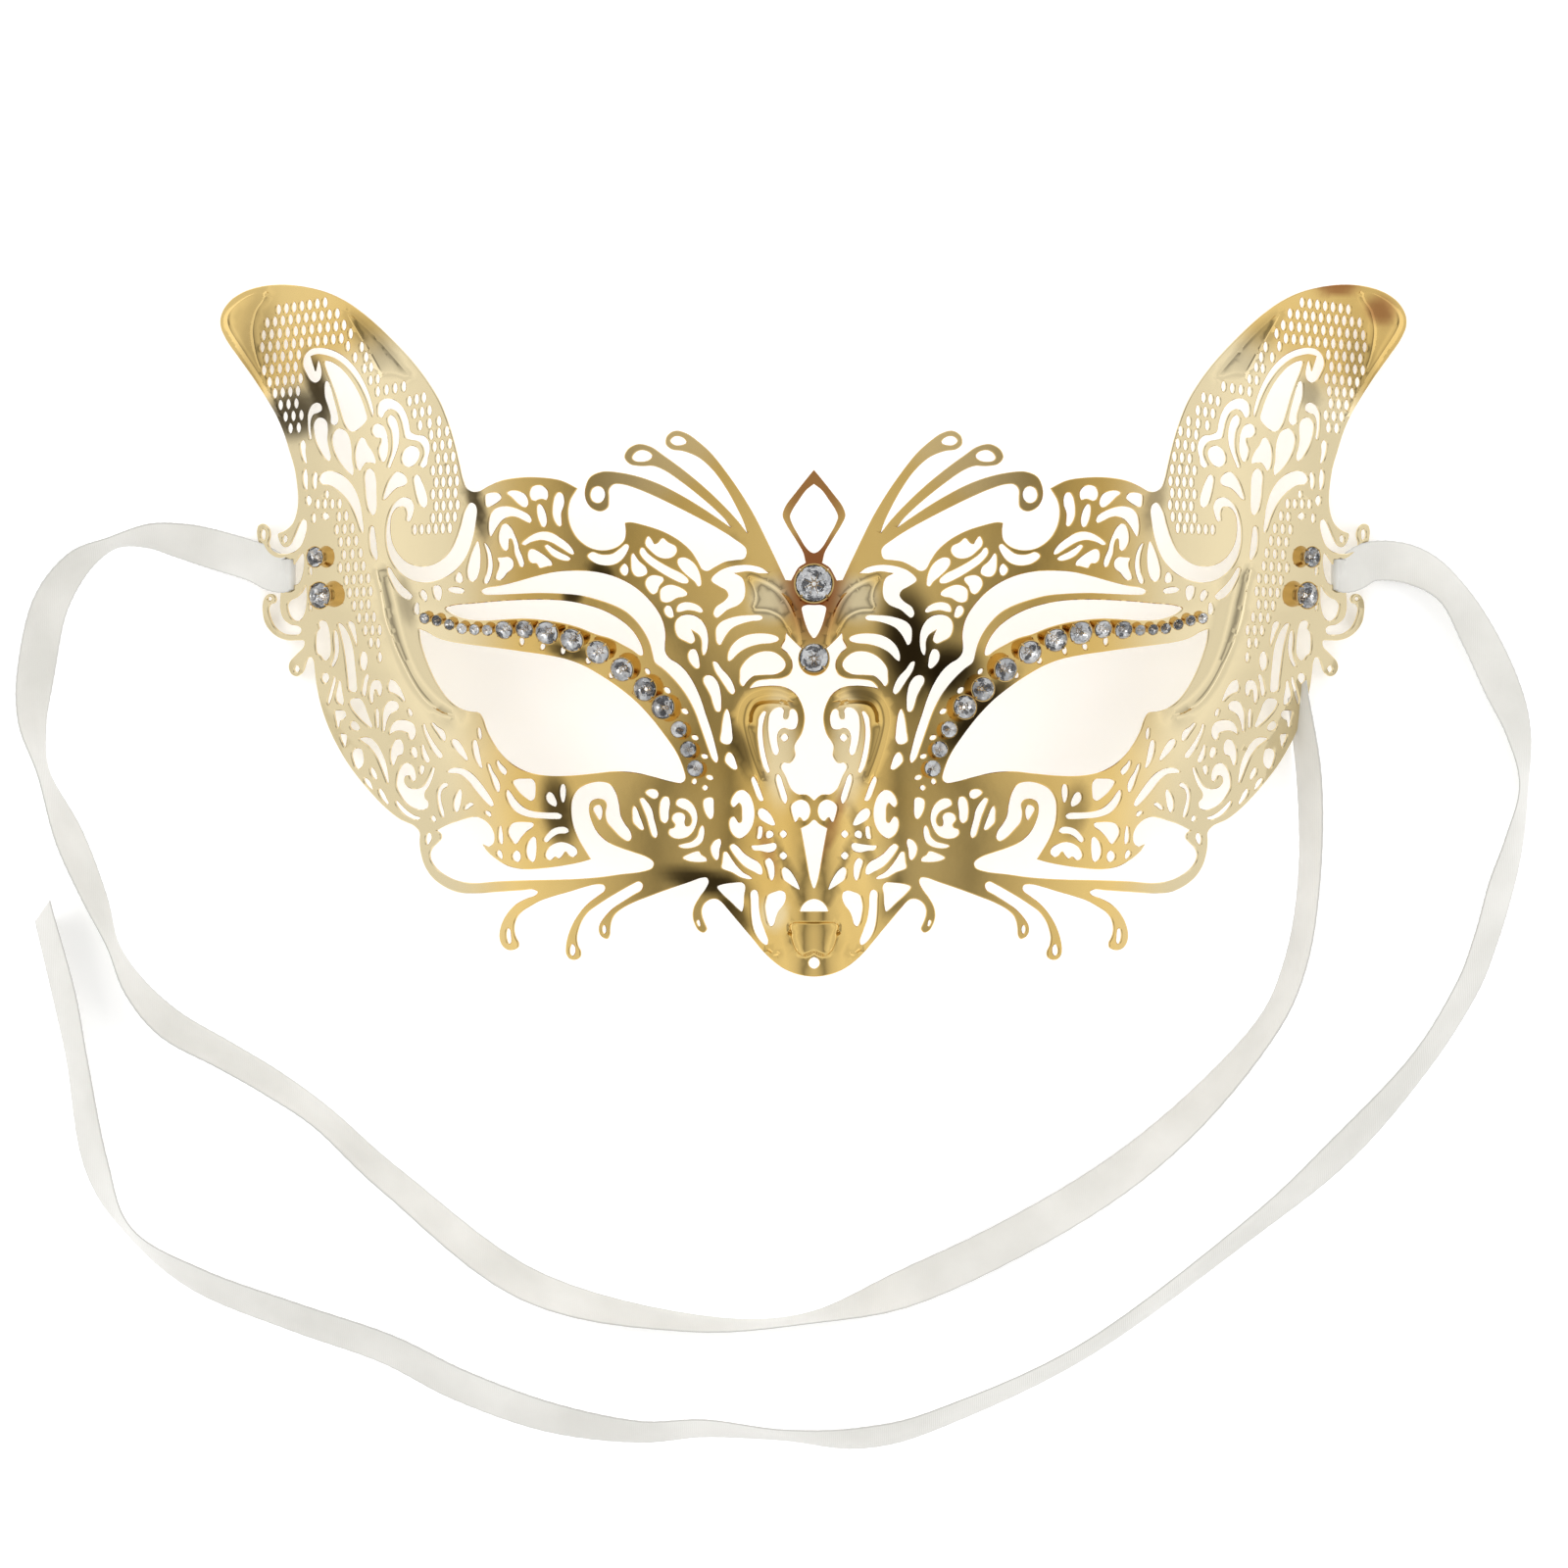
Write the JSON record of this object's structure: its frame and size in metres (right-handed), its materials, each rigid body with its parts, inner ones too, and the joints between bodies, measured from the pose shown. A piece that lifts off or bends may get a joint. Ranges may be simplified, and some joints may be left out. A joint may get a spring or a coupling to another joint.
{
  "type": "venetian masquerade mask",
  "caption": "Half-face cat mask of pierced and formed gold-coloured sheet with claw-set clear crystals and two satin tie ribbons.",
  "frame": {"origin": "on the ground plane under the middle of the mask's outline, ribbons left out", "axes": "+X to the mask's right as seen from the front, +Y towards the ears, +Z away from the wearer's face"},
  "size_m": [0.2713, 0.2109, 0.0429],
  "materials": {
    "gold_sheet": "mirror-polished light gold plate",
    "cup_metal": "polished gold plate",
    "crystal": "faceted clear crystal, foiled back",
    "satin": "off-white single-face satin"
  },
  "bodies": {
    "root": {"bridge_crystal": "crystal", "bridge_cup": "cup_metal", "brow_crystal_left_01": "crystal", "brow_crystal_left_02": "crystal", "brow_crystal_left_03": "crystal", "brow_crystal_left_04": "crystal", "brow_crystal_left_05": "crystal", "brow_crystal_left_06": "crystal", "brow_crystal_left_07": "crystal", "brow_crystal_left_08": "crystal", "brow_crystal_left_09": "crystal", "brow_crystal_left_10": "crystal", "brow_crystal_left_11": "crystal", "brow_crystal_left_12": "crystal", "brow_crystal_left_13": "crystal", "brow_crystal_left_14": "crystal", "brow_crystal_left_15": "crystal", "brow_crystal_left_16": "crystal", "brow_crystal_left_17": "crystal", "brow_crystal_right_01": "crystal", "brow_crystal_right_02": "crystal", "brow_crystal_right_03": "crystal", "brow_crystal_right_04": "crystal", "brow_crystal_right_05": "crystal", "brow_crystal_right_06": "crystal", "brow_crystal_right_07": "crystal", "brow_crystal_right_08": "crystal", "brow_crystal_right_09": "crystal", "brow_crystal_right_10": "crystal", "brow_crystal_right_11": "crystal", "brow_crystal_right_12": "crystal", "brow_crystal_right_13": "crystal", "brow_crystal_right_14": "crystal", "brow_crystal_right_15": "crystal", "brow_crystal_right_16": "crystal", "brow_crystal_right_17": "crystal", "brow_cups_left_size_1": "cup_metal", "brow_cups_left_size_2": "cup_metal", "brow_cups_left_size_3": "cup_metal", "brow_cups_left_size_4": "cup_metal", "brow_cups_right_size_1": "cup_metal", "brow_cups_right_size_2": "cup_metal", "brow_cups_right_size_3": "cup_metal", "brow_cups_right_size_4": "cup_metal", "filigree_plate": "gold_sheet", "forehead_crystal": "crystal", "forehead_cup": "cup_metal", "ribbon_left": "satin", "ribbon_right": "satin", "temple_crystal_left_1": "crystal", "temple_crystal_left_2": "crystal", "temple_crystal_right_1": "crystal", "temple_crystal_right_2": "crystal", "temple_cup_left_1": "cup_metal", "temple_cup_left_2": "cup_metal", "temple_cup_right_1": "cup_metal", "temple_cup_right_2": "cup_metal"}
  },
  "joints": []
}
